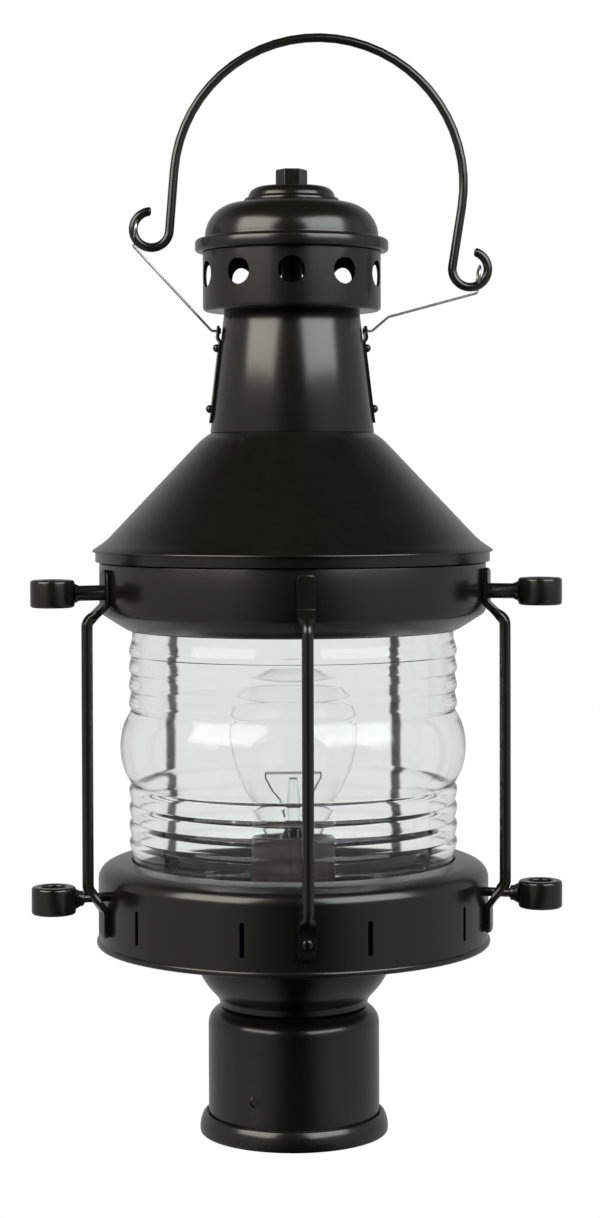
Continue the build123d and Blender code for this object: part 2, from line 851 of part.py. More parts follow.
def bail_points():
    """Arch end, leg end and hook centre of the +X side, about the arch's centre."""
    splay = radians(bail_splay)
    arch_end = Vector(bail_radius * cos(splay), 0, bail_radius * sin(splay))
    leg_end = arch_end + Vector(sin(splay), 0, -cos(splay)) * bail_leg
    hook_centre = leg_end + Vector(cos(splay), 0, sin(splay)) * hook_radius
    return arch_end, leg_end, hook_centre


def placed(point):
    """A point of the upright bail, tilted and lifted to where the bail stands."""
    tilt = radians(bail_tilt)
    x = point.X * cos(tilt) - point.Z * sin(tilt)
    z = point.X * sin(tilt) + point.Z * cos(tilt)
    return Vector(x + bail_side, 0, z + strap_hole_z + bail_rise)


def on_circle(centre, radius, angle):
    """Point of a circle in the XZ plane, the angle counted from +X towards +Z."""
    return centre + Vector(cos(radians(angle)), 0, sin(radians(angle))) * radius


def mirrored(point):
    return Vector(-point.X, point.Y, point.Z)


def bail():
    arch_end, leg_end, hook_centre = bail_points()
    first = 180 + bail_splay
    hook_middle = on_circle(hook_centre, hook_radius, first + hook_sweep / 2)
    hook_tip = on_circle(hook_centre, hook_radius, first + hook_sweep)
    right = [placed(point) for point in (hook_tip, hook_middle, leg_end, arch_end)]
    left = [placed(mirrored(point)) for point in (hook_tip, hook_middle, leg_end, arch_end)]
    crown = placed(Vector(0, 0, bail_radius))
    path = Wire([
        ThreePointArc(left[0], left[1], left[2]),
        Line(left[2], left[3]),
        ThreePointArc(left[3], crown, right[3]),
        Line(right[3], right[2]),
        ThreePointArc(right[2], right[1], right[0]),
    ])
    start = Plane(origin=path @ 0, z_dir=path % 0)
    return sweep(start * Circle(bail_rod / 2), path=path)


def grip_points():
    """Where the left and the right wire loop hold the bail's hooks."""
    hook_centre = bail_points()[2]
    left = on_circle(placed(mirrored(hook_centre)), hook_radius, link_grip_left)
    right = on_circle(placed(hook_centre), hook_radius, link_grip_right)
    return left, right


def wire_link(side, grip, bends):
    """Wire from a strap's ear to a loop round a hook; side is -1 on the left, 1 on the right."""
    button_inner = ear_inner - wire_gap - link_button_thickness
    start = Vector(side * (button_inner + link_button_thickness / 2), 0, strap_hole_z)
    stub_end = Vector(side * (ear_inner + strap_thickness + link_stub), 0, strap_hole_z)
    loop_foot = grip - Vector(0, 0, link_ring)
    route = [start, stub_end] + bends + [loop_foot]
    path = FilletPolyline(*route, radius=link_bend)
    section = Plane(origin=path @ 0, z_dir=path % 0) * Circle(wire / 2)
    link = sweep(section, path=path)
    arm = grip_line_angle()
    loop = Rot(0, 90, 0) * Torus(link_ring, wire / 2)
    link += Pos(grip.X, grip.Y, grip.Z) * Rot(0, arm, 0) * loop
    button = Rot(0, 90, 0) * Cylinder(link_button, link_button_thickness)
    return link + Pos(start.X, 0, start.Z) * button


def grip_line_angle():
    """Tilt of the line through both grips, as a rotation about Y."""
    left, right = grip_points()
    return -degrees(atan2(right.Z - left.Z, right.X - left.X))


def wire_link_left():
    grip = grip_points()[0]
    knee = grip + Vector(left_knee[0], 0, left_knee[1])
    return wire_link(-1, grip, [knee])


def wire_link_right():
    grip = grip_points()[1]
    ear = Vector(ear_inner + strap_thickness, 0, strap_hole_z)
    elbow = ear + Vector(right_elbow[0], 0, right_elbow[1])
    knee = grip + Vector(right_knee[0], 0, right_knee[1])
    return wire_link(1, grip, [elbow, knee])


# --- lamp ---

def lamp_socket():
    top = socket_z + socket_height
    floor = socket_z + socket_floor
    inner = socket_radius - socket_wall
    points = [
        (nipple_hole, socket_z),
        (socket_radius - 3.5, socket_z),
        (socket_radius, socket_z + 5),
        (socket_radius, top),
        (inner, top),
        (inner, floor),
        (nipple_bore / 2, floor),
        (nipple_bore / 2, socket_z + nipple_in_socket),
        (nipple_hole, socket_z + nipple_in_socket),
    ]
    return turned(outline(points, [0, 2, 2, 1.2, 0.6, 0, 0, 0, 0]))


def socket_contact():
    floor = socket_z + socket_floor
    disc = Pos(0, 0, floor + contact_thickness / 2) * Cylinder(contact_radius, contact_thickness)
    return chamfer(disc.edges().filter_by(GeomType.CIRCLE), 0.3)


def socket_shell():
    inner = base_radius + shell_gap
    floor = socket_z + socket_floor
    top = socket_z + socket_height - 2
    points = [
        (inner - 2.5, floor),
        (inner + shell_wall, floor),
        (inner + shell_wall, top),
    ]
    return spun(points, [0, 1, 0], shell_wall)


def bulb_base():
    """Screw base: tip, insulator and threaded shell."""
    tip = bulb_z
    shell = tip + base_tip
    points = [
        (0, tip),
        (2.4, tip),
        (4.6, tip + 1.4),
        (10.4, shell),
    ]
    radii = [0, 0.6, 0.5, 0.5]
    turns = 6
    pitch = (base_length - 3) / turns
    root = base_radius - thread_depth
    collar = bulb_neck_radius - bulb_wall - 0.3
    for i in range(turns):
        points.append((root, shell + i * pitch + 0.4))
        points.append((base_radius, shell + (i + 0.5) * pitch))
        radii += [0.4, 0.7]
    points += [
        (root, shell + turns * pitch + 0.4),
        (base_radius, shell + base_length),
        (collar, shell + base_length),
        (collar, shell + base_length - stem_seat),
        (0, shell + base_length - stem_seat),
    ]
    radii += [0.4, 0, 0, 0, 0]
    return turned(outline(points, radii))


def bulb_glass():
    foot = bulb_z + base_tip + base_length
    top = bulb_z + bulb_length
    middle = top - bulb_radius
    points = [
        (bulb_neck_radius - 0.4, foot),
        (bulb_neck_radius, foot + 4.5),
        (bulb_radius, middle - 11),
        (bulb_radius, top),
        (0, top),
    ]
    return spun(points, [0, 9, 26, bulb_radius * 0.9995, 0], bulb_wall)


def bulb_stem():
    """Glass stem that carries the filament's leads."""
    foot = bulb_z + base_tip + base_length - stem_seat
    points = [
        (0, foot),
        (9.4, foot),
        (8.6, foot + 5),
        (3.2, foot + 14),
        (3.2, foot + 22),
        (2.0, foot + 34),
        (0, foot + 34),
    ]
    return turned(outline(points, [0, 0.5, 4, 8, 6, 0.9, 0]))


def bulb_filament():
    """Two leads that open out from the stem, with the coil between their tips."""
    foot = bulb_z + base_tip + base_length + 14
    tip_z = foot + 16
    radius = lead_wire / 2
    solids = None
    corners = [
        Vector(-filament_spread, 0, tip_z),
        Vector(-filament_spread * 0.3, 0, tip_z - 1.2),
        Vector(filament_spread * 0.3, 0, tip_z - 1.2),
        Vector(filament_spread, 0, tip_z),
    ]
    route = [Vector(-4.2, 0, foot)] + corners + [Vector(4.2, 0, foot)]
    for start, end in zip(route, route[1:]):
        along = Plane(origin=start, z_dir=end - start)
        length = (end - start).length
        piece = along * Pos(0, 0, length / 2) * Cylinder(radius, length)
        piece += Pos(end.X, 0, end.Z) * Sphere(radius)
        solids = piece if solids is None else solids + piece
    return solids


# --- write every node ---

def all_nodes():
    nodes = {
        "post_fitter": post_fitter(),
        "fitter_nipple": fitter_nipple(),
        "nipple_nuts": nipple_nuts(),
        "bowl_neck": bowl_neck(),
        "base_pan": base_pan(),
        "lower_gallery": lower_gallery(),
        "glass_seat": glass_seat(),
        "lower_gasket": lower_gasket(),
        "lens_glass": lens_glass(),
        "upper_sleeve": upper_sleeve(),
        "upper_band": upper_band(),
        "crossbar": crossbar(),
        "centre_rod": centre_rod(),
        "rod_nuts": rod_nuts(),
        "eye_nuts": eye_nuts(),
        "foot_screws": foot_screws(),
        "foot_nuts": foot_nuts(),
        "roof_cone": roof_cone(),
        "chimney": chimney(),
        "bail_strap_left": bail_strap(180),
        "bail_strap_right": bail_strap(0),
        "strap_rivets": strap_rivets(),
        "vent_collar": vent_collar(),
        "vent_dome": vent_dome(),
        "top_disc": top_disc(),
        "finial_nut": finial_nut(),
        "bail": bail(),
        "wire_link_left": wire_link_left(),
        "wire_link_right": wire_link_right(),
        "lamp_socket": lamp_socket(),
        "socket_contact": socket_contact(),
        "socket_shell": socket_shell(),
        "bulb_base": bulb_base(),
        "bulb_glass": bulb_glass(),
        "bulb_stem": bulb_stem(),
        "bulb_filament": bulb_filament(),
    }
    for number in range(bar_count):
        nodes[f"guard_bar_{number + 1}"] = guard_bar(number)
    for number, side in zip(eye_bars, ("right", "left")):
        lower, upper = eye_bolts(number)
        nodes[f"eye_bolt_lower_{side}"] = lower
        nodes[f"eye_bolt_upper_{side}"] = upper
    return nodes


os.makedirs("parts", exist_ok=True)
for name, shape in all_nodes().items():
    export_step(shape, f"parts/{name}.step")

left_grip, right_grip = grip_points()
print("strap holes at z", round(strap_hole_z, 3), "finial at z", round(finial_z, 3))
print("grips:", left_grip, right_grip)
print("eyes at radius", round(eye_radius, 3), "heights", eye_heights())
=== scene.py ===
from math import atan2, cos, pi, radians, sin, tan

import bmesh
import bpy
from mathutils import Matrix, Quaternion, Vector


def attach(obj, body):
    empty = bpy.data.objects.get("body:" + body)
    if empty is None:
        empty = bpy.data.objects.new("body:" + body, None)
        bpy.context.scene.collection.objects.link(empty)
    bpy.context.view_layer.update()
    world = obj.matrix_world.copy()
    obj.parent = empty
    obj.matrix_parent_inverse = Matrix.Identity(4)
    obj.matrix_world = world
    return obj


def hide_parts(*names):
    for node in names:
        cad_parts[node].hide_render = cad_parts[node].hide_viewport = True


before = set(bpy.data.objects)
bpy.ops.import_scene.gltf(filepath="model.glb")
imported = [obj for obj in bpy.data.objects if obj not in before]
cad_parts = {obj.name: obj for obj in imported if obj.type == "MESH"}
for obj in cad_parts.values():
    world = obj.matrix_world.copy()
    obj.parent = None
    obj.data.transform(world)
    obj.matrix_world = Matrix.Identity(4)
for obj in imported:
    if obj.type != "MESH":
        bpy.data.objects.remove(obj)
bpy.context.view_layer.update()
scene = bpy.context.scene
print("frame loaded,", len(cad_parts), "nodes")


# camera, lights and floor

camera = {
    "azimuth": -3.8,        # degrees round from the front bar
    "distance": 1.215,
    "eyeHeight": 0.309,
    "aimHeight": 0.2835,
    "aimRight": 0.0035,
    "lens": 76.85,
    "shiftY": -0.068,
    "roll": -0.16,
}


def aside(azimuth):
    # unit vector out from the lantern's axis, azimuth counted from the front
    angle = radians(azimuth)
    return Vector((sin(angle), -cos(angle), 0))


def placeCamera():
    towardsCamera = aside(camera["azimuth"])
    right = Vector((-towardsCamera.y, towardsCamera.x, 0))
    aim = right * camera["aimRight"] + Vector((0, 0, camera["aimHeight"]))
    data = bpy.data.cameras.new("camera")
    data.lens = camera["lens"]
    data.sensor_width = 36
    data.shift_y = camera["shiftY"]
    data.dof.use_dof = False
    eye = bpy.data.objects.new("camera", data)
    scene.collection.objects.link(eye)
    eye.location = aim + towardsCamera * camera["distance"]
    eye.location.z = camera["eyeHeight"]
    look = (aim - eye.location).to_track_quat("-Z", "Y")
    eye.rotation_mode = "QUATERNION"
    eye.rotation_quaternion = look @ Quaternion((0, 0, 1), radians(camera["roll"]))
    scene.camera = eye


softboxes = {
    "left": {"azimuth": -55, "elevation": 32, "away": 1.5, "wide": 1.3, "tall": 0.95,
             "watts": 22, "colour": (1.0, 0.99, 0.93)},
    "right": {"azimuth": 43, "elevation": 32, "away": 1.5, "wide": 1.4, "tall": 0.95,
              "watts": 24, "colour": (0.90, 0.97, 1.0)},
}


def hangSoftbox(name, box):
    data = bpy.data.lights.new(name + "Softbox", "AREA")
    data.shape = "RECTANGLE"
    data.size = box["wide"]
    data.size_y = box["tall"]
    data.energy = box["watts"]
    data.color = box["colour"]
    lamp = bpy.data.objects.new(name + "Softbox", data)
    scene.collection.objects.link(lamp)
    middle = Vector((0, 0, 0.28))
    rise = radians(box["elevation"])
    out = aside(box["azimuth"]) * cos(rise) + Vector((0, 0, sin(rise)))
    lamp.location = middle + out * box["away"]
    lamp.rotation_mode = "QUATERNION"
    lamp.rotation_quaternion = out.to_track_quat("Z", "Y")
    lamp.visible_camera = False


def node(tree, kind, **values):
    # a shader node, its inputs set by name
    made = tree.nodes.new(kind)
    for name, value in values.items():
        made.inputs[name].default_value = value
    return made


studio = {"seen": 1.0, "through": 0.80, "inGlass": 0.60, "front": 0.005, "beside": 0.42,
          "behind": 0.45}


def maths(tree, operation, *values):
    # a maths node fed by sockets or plain numbers
    made = node(tree, "ShaderNodeMath")
    made.operation = operation
    for i, value in enumerate(values):
        if isinstance(value, (int, float)):
            made.inputs[i].default_value = value
        else:
            tree.links.new(value, made.inputs[i])
    return made.outputs["Value"]


def ramp(tree, source, low, high, bottom=0.0, top=1.0, kind="LINEAR"):
    # bottom to top as the source goes from low to high
    made = node(tree, "ShaderNodeMapRange", **{"From Min": low, "From Max": high,
                                               "To Min": bottom, "To Max": top})
    made.interpolation_type = kind
    tree.links.new(source, made.inputs["Value"])
    return made.outputs["Result"]


def parted(tree, vector):
    # the X, Y and Z of a vector
    made = node(tree, "ShaderNodeSeparateXYZ")
    tree.links.new(vector, made.inputs["Vector"])
    return made.outputs


def seenStrength(tree, reflected):
    # strength of a bright surface: as the camera sees it, through glass, or in a reflection
    path = node(tree, "ShaderNodeLightPath").outputs
    behindGlass = maths(tree, "GREATER_THAN", path["Transmission Depth"], 0.5)
    for mask, value in ((behindGlass, studio["inGlass"]),
                        (path["Is Transmission Ray"], studio["through"]),
                        (path["Is Camera Ray"], studio["seen"])):
        mix = node(tree, "ShaderNodeMix")
        mix.inputs["B"].default_value = value
        tree.links.new(mask, mix.inputs["Factor"])
        tree.links.new(reflected, mix.inputs["A"])
        reflected = mix.outputs["Result"]
    return reflected


def roomGlow(tree, direction):
    # how bright the room reflects: dark in front, lighter at the sides and behind
    unit = node(tree, "ShaderNodeVectorMath")
    unit.operation = "NORMALIZE"
    tree.links.new(direction, unit.inputs[0])
    pointing = parted(tree, unit.outputs["Vector"])
    across = maths(tree, "ABSOLUTE", pointing["X"])
    sides = ramp(tree, across, 0.12, 0.75, studio["front"], studio["beside"], "SMOOTHSTEP")
    rear = ramp(tree, pointing["Y"], -0.1, 0.75, studio["front"], studio["behind"], "SMOOTHSTEP")
    return maths(tree, "MAXIMUM", sides, rear)


def hangBackdrop():
    # the room fades out overhead
    world = bpy.data.worlds.new("studio")
    scene.world = world
    world.use_nodes = True
    tree = world.node_tree
    background = tree.nodes["Background"]
    background.inputs["Color"].default_value = (1, 1, 1, 1)
    where = node(tree, "ShaderNodeTexCoord").outputs["Generated"]
    low = ramp(tree, parted(tree, where)["Z"], 0.9, 0.3, kind="SMOOTHSTEP")
    dimmed = maths(tree, "MULTIPLY", roomGlow(tree, where), low)
    tree.links.new(seenStrength(tree, dimmed), background.inputs["Strength"])


def floorPaper():
    # white paper that the lamps have washed out, so no shadow shows on it
    paper = bpy.data.materials.new("floorPaper")
    paper.use_nodes = True
    tree = paper.node_tree
    tree.nodes.clear()
    out = node(tree, "ShaderNodeOutputMaterial")
    glow = node(tree, "ShaderNodeEmission", Color=(1, 1, 1, 1))
    lit = roomGlow(tree, node(tree, "ShaderNodeTexCoord").outputs["Object"])
    tree.links.new(seenStrength(tree, lit), glow.inputs["Strength"])
    tree.links.new(glow.outputs["Emission"], out.inputs["Surface"])
    return paper


def layFloor():
    bm = bmesh.new()
    bmesh.ops.create_circle(bm, cap_ends=True, radius=30, segments=64)
    mesh = bpy.data.meshes.new("floor")
    bm.to_mesh(mesh)
    bm.free()
    floor = bpy.data.objects.new("floor", mesh)
    scene.collection.objects.link(floor)
    mesh.materials.append(floorPaper())


placeCamera()
for side, box in softboxes.items():
    hangSoftbox(side, box)
hangBackdrop()
layFloor()
scene.view_settings.view_transform = "Standard"
print("camera, softboxes and floor placed")


# shader groups that several finishes share

def shaderGroup(name, inputs, outputs):
    tree = bpy.data.node_groups.new(name, "ShaderNodeTree")
    for label, kind, value in inputs:
        socket = tree.interface.new_socket(name=label, in_out="INPUT", socket_type=kind)
        socket.default_value = value
    for label, kind in outputs:
        tree.interface.new_socket(name=label, in_out="OUTPUT", socket_type=kind)
    return tree, tree.nodes.new("NodeGroupInput"), tree.nodes.new("NodeGroupOutput")


def grainy(tree, scale, detail, roughness):
    # noise fixed to the object, its scale given by a socket
    noise = node(tree, "ShaderNodeTexNoise", Detail=detail, Roughness=roughness)
    where = node(tree, "ShaderNodeTexCoord")
    tree.links.new(where.outputs["Object"], noise.inputs["Vector"])
    tree.links.new(scale, noise.inputs["Scale"])
    return noise.outputs["Fac"]


def buildOrangePeel():
    # fine ripple of a sprayed and baked coat
    tree, given, result = shaderGroup(
        "orangePeel",
        [("Grain", "NodeSocketFloat", 900), ("Depth", "NodeSocketFloat", 0.1)],
        [("Normal", "NodeSocketVector")])
    bump = node(tree, "ShaderNodeBump", Distance=0.0004)
    tree.links.new(grainy(tree, given.outputs["Grain"], 2.0, 0.5), bump.inputs["Height"])
    tree.links.new(given.outputs["Depth"], bump.inputs["Strength"])
    tree.links.new(bump.outputs["Normal"], result.inputs["Normal"])
    return tree


def buildCloudy():
    # slow and fine variation of a value, for gloss that isn't even
    tree, given, result = shaderGroup(
        "cloudy",
        [("Middle", "NodeSocketFloat", 0.3), ("Spread", "NodeSocketFloat", 0.1),
         ("Scale", "NodeSocketFloat", 30)],
        [("Value", "NodeSocketFloat")])
    centred = maths(tree, "SUBTRACT", grainy(tree, given.outputs["Scale"], 6.0, 0.62), 0.5)
    value = maths(tree, "MULTIPLY_ADD", centred, given.outputs["Spread"], given.outputs["Middle"])
    tree.links.new(value, result.inputs["Value"])
    return tree


def buildDust():
    # mask of the thin dust that settles on what faces up
    tree, given, result = shaderGroup(
        "settledDust",
        [("Amount", "NodeSocketFloat", 0.1), ("Scale", "NodeSocketFloat", 120)],
        [("Mask", "NodeSocketFloat")])
    facing = node(tree, "ShaderNodeNewGeometry").outputs["Normal"]
    upward = ramp(tree, parted(tree, facing)["Z"], 0.25, 1.0)
    patchy = ramp(tree, grainy(tree, given.outputs["Scale"], 8.0, 0.7), 0.38, 0.72)
    both = maths(tree, "MULTIPLY", upward, patchy)
    mask = maths(tree, "MULTIPLY", both, given.outputs["Amount"])
    tree.links.new(mask, result.inputs["Mask"])
    return tree


def buildPaintedEdgeHighlight():
    # mask of the outer edges, where the coat is made lighter as a painted edge highlight
    tree, given, result = shaderGroup(
        "paintedEdgeHighlight",
        [("Amount", "NodeSocketFloat", 0.3), ("Scale", "NodeSocketFloat", 160)],
        [("Mask", "NodeSocketFloat")])
    shape = node(tree, "ShaderNodeNewGeometry").outputs["Pointiness"]
    edge = ramp(tree, shape, 0.52, 0.64)
    patchy = ramp(tree, grainy(tree, given.outputs["Scale"], 5.0, 0.6), 0.42, 0.62)
    both = maths(tree, "MULTIPLY", edge, patchy)
    mask = maths(tree, "MULTIPLY", both, given.outputs["Amount"])
    tree.links.new(mask, result.inputs["Mask"])
    return tree


orangePeel = buildOrangePeel()
cloudy = buildCloudy()
settledDust = buildDust()
# mask for the painted edge highlight on the black coat
paintedEdgeHighlight = buildPaintedEdgeHighlight()


def effect(tree, group, **values):
    # a shared group placed in a finish, with its own values
    placed = tree.nodes.new("ShaderNodeGroup")
    placed.node_tree = group
    for name, value in values.items():
        placed.inputs[name].default_value = value
    return placed


def mixColour(tree, mask, first, second):
    # colour that goes from first to second by a mask
    mix = tree.nodes.new("ShaderNodeMix")
    mix.data_type = "RGBA"
    tree.links.new(mask, mix.inputs["Factor"])
    for socket, colour in ((mix.inputs["A"], first), (mix.inputs["B"], second)):
        if isinstance(colour, tuple):
            socket.default_value = (*colour, 1)
        else:
            tree.links.new(colour, socket)
    return mix.outputs["Result"]


def finish(name, **values):
    # a Principled material with its plain values set on its own sockets
    made = bpy.data.materials.new(name)
    made.use_nodes = True
    shader = made.node_tree.nodes["Principled BSDF"]
    for label, value in values.items():
        shader.inputs[label.replace("_", " ")].default_value = value
    return made, made.node_tree, shader


# finishes

# the lighter colour laid on the outer edges is a painted edge highlight
enamel = {"colour": (0.0062, 0.0060, 0.0040), "highlightColour": (0.022, 0.021, 0.015),
          "dust": (0.12, 0.115, 0.10), "gloss": 0.22, "spread": 0.08}


def makeBlackEnamel():
    made, tree, shader = finish("blackEnamelCoat", IOR=1.55, Specular_Tint=(1.0, 0.99, 0.92, 1))
    tint = effect(tree, cloudy, Middle=0.5, Spread=1.6, Scale=22)
    # painted edge highlight: the coat is lightened along its outer edges
    edges = effect(tree, paintedEdgeHighlight, Amount=0.25, Scale=150)
    dust = effect(tree, settledDust, Amount=0.035, Scale=90)
    gloss = effect(tree, cloudy, Middle=enamel["gloss"], Spread=enamel["spread"], Scale=38)
    peel = effect(tree, orangePeel, Grain=700, Depth=0.03)
    darker = tuple(0.8 * part for part in enamel["colour"])
    coat = mixColour(tree, tint.outputs["Value"], darker, enamel["colour"])
    edgeHighlighted = mixColour(tree, edges.outputs["Mask"], coat, enamel["highlightColour"])
    dusty = mixColour(tree, dust.outputs["Mask"], edgeHighlighted, enamel["dust"])
    tree.links.new(dusty, shader.inputs["Base Color"])
    tree.links.new(gloss.outputs["Value"], shader.inputs["Roughness"])
    tree.links.new(peel.outputs["Normal"], shader.inputs["Normal"])
    return made


def makeMetal(name, colour, stain, gloss, spread, grain, depth):
    # bare or plated metal: faint stains, uneven gloss and fine drawing marks
    made, tree, shader = finish(name, Metallic=1.0)
    stains = effect(tree, cloudy, Middle=0.35, Spread=2.0, Scale=90)
    rough = effect(tree, cloudy, Middle=gloss, Spread=spread, Scale=140)
    peel = effect(tree, orangePeel, Grain=grain, Depth=depth)
    stained = mixColour(tree, stains.outputs["Value"], colour, stain)
    tree.links.new(stained, shader.inputs["Base Color"])
    tree.links.new(rough.outputs["Value"], shader.inputs["Roughness"])
    tree.links.new(peel.outputs["Normal"], shader.inputs["Normal"])
    return made


def makeMoulded(name, colour, pale, gloss, spread):
    # moulded rubber, porcelain or phenolic
    made, tree, shader = finish(name)
    mottle = effect(tree, cloudy, Middle=0.4, Spread=1.4, Scale=160)
    dust = effect(tree, settledDust, Amount=0.12, Scale=150)
    rough = effect(tree, cloudy, Middle=gloss, Spread=spread, Scale=120)
    peel = effect(tree, orangePeel, Grain=1500, Depth=0.12)
    body = mixColour(tree, mottle.outputs["Value"], colour, pale)
    dusty = mixColour(tree, dust.outputs["Mask"], body, (0.2, 0.19, 0.17))
    tree.links.new(dusty, shader.inputs["Base Color"])
    tree.links.new(rough.outputs["Value"], shader.inputs["Roughness"])
    tree.links.new(peel.outputs["Normal"], shader.inputs["Normal"])
    return made


def makeGlass(name, colour, ior, ripple, depth, rough):
    # clear glass with the slow ripple of its making
    made, tree, shader = finish(name, Transmission_Weight=1.0, IOR=ior,
                                Specular_Tint=(0.5, 0.5, 0.5, 1))
    haze = effect(tree, cloudy, Middle=rough, Spread=rough, Scale=60)
    wave = effect(tree, orangePeel, Grain=ripple, Depth=depth)
    tint = effect(tree, cloudy, Middle=0.5, Spread=1.0, Scale=15)
    paler = tuple(min(1.0, part * 1.02) for part in colour)
    clear = mixColour(tree, tint.outputs["Value"], colour, paler)
    tree.links.new(clear, shader.inputs["Base Color"])
    tree.links.new(haze.outputs["Value"], shader.inputs["Roughness"])
    tree.links.new(wave.outputs["Normal"], shader.inputs["Normal"])
    return made


blackEnamel = makeBlackEnamel()
wireSteel = makeMetal("brightWire", (0.52, 0.51, 0.48), (0.34, 0.33, 0.31),
                      0.34, 0.2, 2400, 0.02)
platedSteel = makeMetal("zincPlate", (0.60, 0.58, 0.52), (0.42, 0.40, 0.36),
                        0.34, 0.25, 1800, 0.2)
blackenedSteel = makeMetal("blackenedSteel", (0.045, 0.042, 0.038), (0.02, 0.018, 0.016),
                           0.42, 0.2, 1600, 0.3)
brass = makeMetal("brassSheet", (0.72, 0.52, 0.24), (0.45, 0.30, 0.12), 0.3, 0.25, 1600, 0.2)
baseShell = makeMetal("lampCapMetal", (0.70, 0.69, 0.66), (0.5, 0.49, 0.46), 0.3, 0.2, 1600, 0.15)
filamentWire = makeMetal("filamentWire", (0.20, 0.19, 0.18), (0.12, 0.11, 0.10),
                         0.4, 0.2, 3000, 0.1)
gasketRubber = makeMoulded("gasketRubber", (0.012, 0.012, 0.012), (0.03, 0.03, 0.03), 0.65, 0.2)
socketMoulding = makeMoulded("socketMoulding", (0.030, 0.024, 0.020), (0.06, 0.05, 0.045),
                             0.4, 0.2)
lensGlass = makeGlass("pressedLensGlass", (0.955, 0.975, 0.96), 1.45, 55, 0.10, 0.05)
bulbGlass = makeGlass("blownBulbGlass", (0.99, 0.992, 0.99), 1.2, 30, 0.04, 0.004)
stemGlass = makeGlass("stemGlass", (0.94, 0.96, 0.95), 1.5, 90, 0.1, 0.01)

slotFinish = {
    "black_enamel": blackEnamel,
    "plated_steel": platedSteel,
    "blackened_steel": blackenedSteel,
    "gasket_rubber": gasketRubber,
    "lens_glass": lensGlass,
    "bulb_glass": bulbGlass,
    "stem_glass": stemGlass,
    "link_wire": wireSteel,
    "socket_moulding": socketMoulding,
    "brass": brass,
    "base_shell": baseShell,
    "filament_wire": filamentWire,
}
for name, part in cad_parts.items():
    for i, slot in enumerate(part.data.materials):
        part.material_slots[i].link = "OBJECT"
        part.material_slots[i].material = slotFinish[slot.name.split(".")[0]]
print("finishes made")


# tools for the pieces: sizes in millimetres, made metres when a piece is finished

def walled(corners, wall, lip=0.35):
    # outline of a bent sheet from its outer side; the wall lies to the left of it
    path = [Vector((across, up)) for across, up, reach in corners]
    inner = []
    for i, corner in enumerate(path):
        before = (corner - path[i - 1]).normalized() if i else None
        after = (path[i + 1] - corner).normalized() if i + 1 < len(path) else None
        before = before or after
        after = after or before
        leftBefore = Vector((-before.y, before.x))
        leftAfter = Vector((-after.y, after.x))
        mitre = (leftBefore + leftAfter).normalized()
        spot = corner + mitre * (wall / mitre.dot(leftBefore))
        turn = atan2(before.cross(after), before.dot(after))
        reach = corners[i][2]
        if reach:
            reach = max(reach - wall * tan(turn / 2), 0.15)
        inner.append((spot.x, spot.y, reach))
    outer = [tuple(corner) for corner in corners]
    for side in (outer, inner):
        for end in (0, -1):
            if side[end][0] > 0 and not side[end][2]:
                side[end] = (side[end][0], side[end][1], lip * wall)
    return outer + inner[::-1]


def turned(corners, steps=144):
    # closed outline of few corners, each rounded by its own reach, spun about the axis
    bm = bmesh.new()
    points = [bm.verts.new((across, 0, up)) for across, up, reach in corners]
    for here, after in zip(points, points[1:] + points[:1]):
        if here.co.x > 0 or after.co.x > 0:
            bm.edges.new((here, after))
    for point, (across, up, reach) in zip(points, corners):
        if reach:
            bmesh.ops.bevel(bm, geom=[point], offset=reach, affect="VERTICES", profile=0.5,
                            segments=max(2, min(14, round(2 + reach))), material=-1)
    bmesh.ops.spin(bm, geom=bm.verts[:] + bm.edges[:], cent=(0, 0, 0), axis=(0, 0, 1),
                   angle=2 * pi, steps=steps, use_merge=True, use_duplicate=False)
    bmesh.ops.remove_doubles(bm, verts=bm.verts, dist=1e-3)
    bmesh.ops.recalc_face_normals(bm, faces=bm.faces)
    return bm


def bent(corners):
    # stations along corners (x, z, bend radius, width, thickness, squareness) in the XZ plane
    stations = []
    for i, (x, z, radius, *section) in enumerate(corners):
        here = Vector((x, z))
        before = here - Vector(corners[i - 1][:2]) if i else None
        after = Vector(corners[i + 1][:2]) - here if i + 1 < len(corners) else None
        before = (before or after).normalized()
        after = (after or before).normalized()
        heading = atan2(before.y, before.x)
        turn = atan2(before.cross(after), before.dot(after))
        if not radius or abs(turn) < 1e-6:
            stations.append((x, z, heading + turn / 2, *section))
            continue
        start = here - before * radius * tan(abs(turn) / 2)
        side = 1 if turn > 0 else -1
        centre = start + Vector((-before.y, before.x)) * radius * side
        count = max(3, round(abs(turn) * 6))
        for k in range(count + 1):
            angle = heading + turn * k / count
            spot = centre + Vector((sin(angle), -cos(angle))) * radius * side
            stations.append((spot.x, spot.y, angle, *section))
    return stations


def crossing(station):
    # matrix that puts a unit section at a station: across it first, then through it
    x, z, angle, width, thickness = station[:5]
    turn = Matrix(((0, -sin(angle), cos(angle)), (1, 0, 0), (0, cos(angle), sin(angle)))).to_4x4()
    return Matrix.Translation((x, 0, z)) @ turn @ Matrix.Diagonal((width / 2, thickness / 2, 1, 1))


def onSection(angle, squareness):
    # point of a section that goes from round to square
    stretch = max(abs(cos(angle)), abs(sin(angle))) ** -squareness
    return Vector((cos(angle) * stretch, sin(angle) * stretch, 0))


